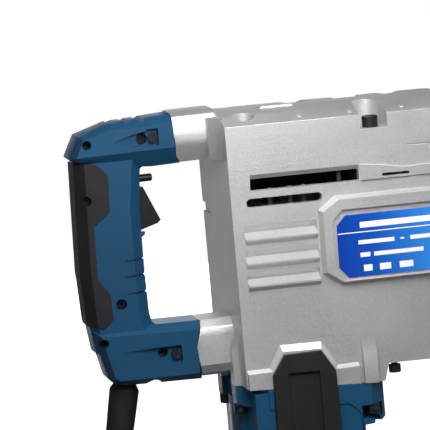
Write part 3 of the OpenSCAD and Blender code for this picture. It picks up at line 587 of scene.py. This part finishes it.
def smooth_path(points, cuts=3):
    """Rounds a given run with a Catmull-Rom curve through its points."""
    out = []
    for i in range(len(points) - 1):
        p0, p1 = points[max(i - 1, 0)], points[i]
        p2, p3 = points[i + 1], points[min(i + 2, len(points) - 1)]
        for k in range(cuts):
            t = k / cuts
            out.append(0.5 * (
                2 * p1 + (p2 - p0) * t + (2 * p0 - 5 * p1 + 4 * p2 - p3) * t * t
                + (3 * p1 - p0 - 3 * p2 + p3) * t ** 3
            ))
    out.append(points[-1])
    return [Vector((p.x, p.y, max(p.z, CORD_R))) for p in out]


def make_cord(materials):
    """The mains lead, from the strain relief over the floor and the coil to the plug."""
    down = [CORD_EXIT] + [Vector(p) * MM for p in FLOOR_RUN]
    lead = [Vector(p) * MM for p in LEAD_RUN]
    route = smooth_path(down) + coil_points() + smooth_path(lead)
    cord = tube_mesh("mains_cord", route, CORD_R, [materials["cable_rubber"]])
    settle(cord, "handle", ["power_cord", "cord_coil", "plug_lead"])
    plug = rounded_copy("plug_body", 1.6 * MM, materials, segments=3)


# ---------------------------------------------------------------- screws
# Each kind's head diameter and height, socket width, shank length and shank diameter, in millimetres.
COVER_SCREW = (12.5, 9, 7, 52.6, 6.4)
CREST_SCREW = (10, 6.5, 5.5, 24, 6.4)
UNDERSIDE_SCREW = (9.6, 6.2, 5, 10.3, 5)
REAR_MOTOR_SCREW = (10, 8, 5.5, 25, 5)
FRONT_MOTOR_SCREW = (10.5, 8.2, 5.5, 33.3, 5)
NOSE_SCREW = (11, 8, 6, 23, 6.4)
FLANGE_SCREW = (10, 8, 5.5, 22, 6)
# Under each head, in millimetres: in the castings' frame on the roof, and in the part's own frame elsewhere.
BORE_AXIS_Z = 238
NOSE_REACH = 50 * math.sin(math.radians(45))
COVER_SPOTS = [(x, 42 * s, -11.4) for s in SIDES for x in (118.5, 225)]
CREST_SPOTS = [(19, 37 * s, -6) for s in SIDES]
UNDERSIDE_SPOTS = [(x, 46 * s, 128.2) for x in (75.2, 119, 163) for s in SIDES]
REAR_MOTOR_SPOTS = [(-47, 25 * s, 109) for s in SIDES]
FRONT_MOTOR_SPOTS = [(54, 50 * s, 100.7) for s in SIDES]
NOSE_SPOTS = [(386, y, BORE_AXIS_Z + z) for y in (-NOSE_REACH, NOSE_REACH) for z in (-NOSE_REACH, NOSE_REACH)]
FLANGE_SPOTS = [(226, y, BORE_AXIS_Z + z) for y in (-43, 43) for z in (-42, 33)]
GRIP_HEAD = 3.4
UP = Matrix()
DOWN = Matrix.Rotation(math.pi, 4, "X")


def screws_at(spots, turn, kind, frame_of=Matrix()):
    """One screw of a kind at each spot, its head pointing the way that the turn sends +Z."""
    return [(frame_of @ Matrix.Translation(Vector(spot) * MM) @ turn, *kind) for spot in spots]


def make_screw_group(name, node, screws, materials):
    bm = bmesh.new()
    for place, d, height, across, shank, shank_d in screws:
        socket_screw(bm, place, d * MM, height * MM, across * MM, shank * MM, shank_d * MM)
    piece = new_piece(name, bm, [materials["black_steel"]], 35)
    settle(piece, BODY_OF[node], [node])


def grip_screws():
    """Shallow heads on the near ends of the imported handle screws."""
    near = axes_to((0, -1, 0))
    screws = []
    for low, high in islands("handle_screws"):
        centre = (low + high) / 2
        centre.y = high.y
        screws.append((Matrix.Translation(centre) @ near, (high.x - low.x) / MM, GRIP_HEAD, GRIP_HEAD, 0, 0))
    return screws


def make_screws(materials):
    forward = axes_to((1, 0, 0))
    roof = screws_at(COVER_SPOTS, UP, COVER_SCREW, TILTED) + screws_at(CREST_SPOTS, UP, CREST_SCREW, TILTED)
    under = screws_at(UNDERSIDE_SPOTS, DOWN, UNDERSIDE_SCREW)
    motor = screws_at(REAR_MOTOR_SPOTS, DOWN, REAR_MOTOR_SCREW)
    motor += screws_at(FRONT_MOTOR_SPOTS, DOWN, FRONT_MOTOR_SCREW)
    front = screws_at(NOSE_SPOTS, forward, NOSE_SCREW) + screws_at(FLANGE_SPOTS, forward, FLANGE_SCREW)
    make_screw_group("cover_screws", "cover_bolts", roof, materials)
    make_screw_group("underside_screws", "underside_bolts", under, materials)
    make_screw_group("motor_screws", "motor_bolts", motor, materials)
    make_screw_group("front_screws", "nose_bolts", front, materials)
    make_screw_group("grip_screws", "handle_screws", grip_screws(), materials)


# ---------------------------------------------------------------- nameplate
LABEL_FACE = -56.8
# Each plain bar's rear end, front end, middle height and width in the castings' frame, in millimetres.
BARS = [
    (101, 206, -85.4, 4.6),
    (99, 128, -99, 3.2), (133, 136, -99, 1.2), (141, 158, -99, 3.2),
    (100, 108, -109, 3.4), (111, 151, -109, 3.2),
    (102, 109, -119.5, 5.0), (115, 124, -119.5, 5.0), (131, 142, -119.5, 5.0),
    (160, 206, -99, 2.2), (160, 206, -105, 1.4), (160, 206, -109.5, 1.4), (160, 196, -119.5, 2.4),
]
DIVIDER = (82.9, 216.6, -91, 0.7)
INK_SUNK = 0.1
INK_DEPTH = 0.12


def make_label(materials):
    """The label film, with plain bars where a maker would print."""
    rounded_copy("nameplate", 0.25 * MM, materials)
    bm = bmesh.new()
    for x0, x1, z, height in BARS + [DIVIDER]:
        corner = Vector((x0 * MM, LABEL_FACE * MM - INK_SUNK * MM, (z - height / 2) * MM))
        outline = [(0, 0), ((x1 - x0) * MM, 0), ((x1 - x0) * MM, height * MM), (0, height * MM)]
        place = TILTED @ Matrix.Translation(corner) @ Matrix.Rotation(math.pi / 2, 4, "X")
        prism(bm, outline, INK_DEPTH * MM, place)
    ink = new_piece("label_print", bm, [materials["label_ink"]])
    settle(ink, "root")


# ---------------------------------------------------------------- carried-over CAD nodes
# The width in millimetres that each node's hard edges are rounded to.
SHELLS = {
    "upper_housing": 0.9, "main_housing": 0.9, "barrel": 0.9, "nose": 0.9, "upper_arm": 0.9, "lower_arm": 0.9,
    "handle_shell_left": 1.2, "handle_shell_right": 1.2, "grip_pad": 0.9,
    "motor_cover": 0.9, "motor_end_cap": 0.8,
    "side_bumpers": 1.3, "trigger": 0.9, "cord_guard": 0.5, "tool_holder": 0.6, "tool_retainer": 0.8,
    "nose_buffer": 1.5, "handle_band": 1.0, "loop_grip": 1.0, "clamp_knob": 1.2, "brush_caps": 0.5,
    "lock_button": 0.4, "retainer_clip": 0.3,
}


def make_shells(materials):
    for node, width in SHELLS.items():
        rounded_copy(node, width * MM, materials, EDGE_HIGHLIGHT_OF.get(SLOT_OF[node]))


# A mark's (radius, height) outline, its places along the castings, and the roof's middle line there.
MARK_PROFILE = [(0, 0.12 * MM), (2.3 * MM, 0.12 * MM), (2.6 * MM, -0.3 * MM), (0, -0.3 * MM)]
MARK_STEPS = 24
MARK_X = (61.6, 102, 144)
MARK_Y = 45
ROOF_SLOPE = math.atan2(6.3, 16)
ROOF_Z = 3.15


def make_ejector_marks(materials):
    """The round marks that the die's ejector pins leave on both slopes of the roof."""
    bm = bmesh.new()
    for side in SIDES:
        for x in MARK_X:
            spot = TILTED @ Matrix.Translation(Vector((x, MARK_Y * side, ROOF_Z)) * MM)
            place = spot @ Matrix.Rotation(-side * ROOF_SLOPE, 4, "X")
            turned(bm, MARK_PROFILE, place, MARK_STEPS)
    # The marks wear the lighter painted-highlight copy of the casting.
    marks = new_piece("ejector_marks", bm, [materials["cast_painted_highlight"]])
    settle(marks, "root")


def dress_hidden_nodes(materials):
    for node, obj in NODES.items():
        obj.data.materials.clear()
        obj.data.materials.append(materials[SLOT_OF[node]])


# ---------------------------------------------------------------- stage
# Radius and height in metres of the round floor and the wall that it curves up into.
FLOOR_PROFILE = [
    (0, 0), (1.5, 0), (5, 0), (9, 0), (12, 0), (13.2, 0.5), (13.9, 1.6), (14.2, 4), (14.2, 12),
]
FLOOR_STEPS = 64
FLOOR_DROP = 0.0005
WORLD_STRENGTH = 0.12
# name, place, size and power of each soft light, all aimed at the middle of the tool
LIGHTS = (
    ("key", (-0.05, -0.46, 0.66), 0.45, 6.4),
    ("fill", (-1.3, -1.6, 0.7), 1.2, 3.2),
    ("far_side", (0.1, 1.4, 0.14), 0.8, 7.0),
    ("front", (1.7, -0.3, 0.6), 0.9, 6.0),
)
LIGHT_AIM = Vector((0.02, 0, 0.22))


def soft_light(name, place, size, power):
    data = bpy.data.lights.new(name, "AREA")
    data.size = size
    data.energy = power
    lamp = link(bpy.data.objects.new(name, data))
    lamp.location = place
    lamp.visible_camera = False
    lamp.rotation_euler = (LIGHT_AIM - Vector(place)).to_track_quat("-Z", "Y").to_euler()


def make_stage(materials):
    bm = bmesh.new()
    turned(bm, FLOOR_PROFILE, steps=FLOOR_STEPS)
    floor = link(bpy.data.objects.new("floor", bpy.data.meshes.new("floor")))
    bm.to_mesh(floor.data)
    bm.free()
    floor.data.shade_smooth()
    floor.data.materials.append(materials["floor"])
    floor.location.z = -FLOOR_DROP
    floor.visible_diffuse = False
    floor.visible_glossy = False

    world = bpy.data.worlds.new("studio")
    world.use_nodes = True
    sky = world.node_tree.nodes["Background"]
    sky.inputs["Color"].default_value = (1, 1, 1, 1)
    sky.inputs["Strength"].default_value = WORLD_STRENGTH
    bpy.context.scene.world = world
    for light in LIGHTS:
        soft_light(*light)
    bpy.context.scene.view_settings.view_transform = "Standard"


make_camera()
MATERIALS = make_materials()
make_cord(MATERIALS)
dress_hidden_nodes(MATERIALS)
make_shells(MATERIALS)
make_screws(MATERIALS)
make_label(MATERIALS)
make_ejector_marks(MATERIALS)
make_stage(MATERIALS)

bpy.context.view_layer.update()
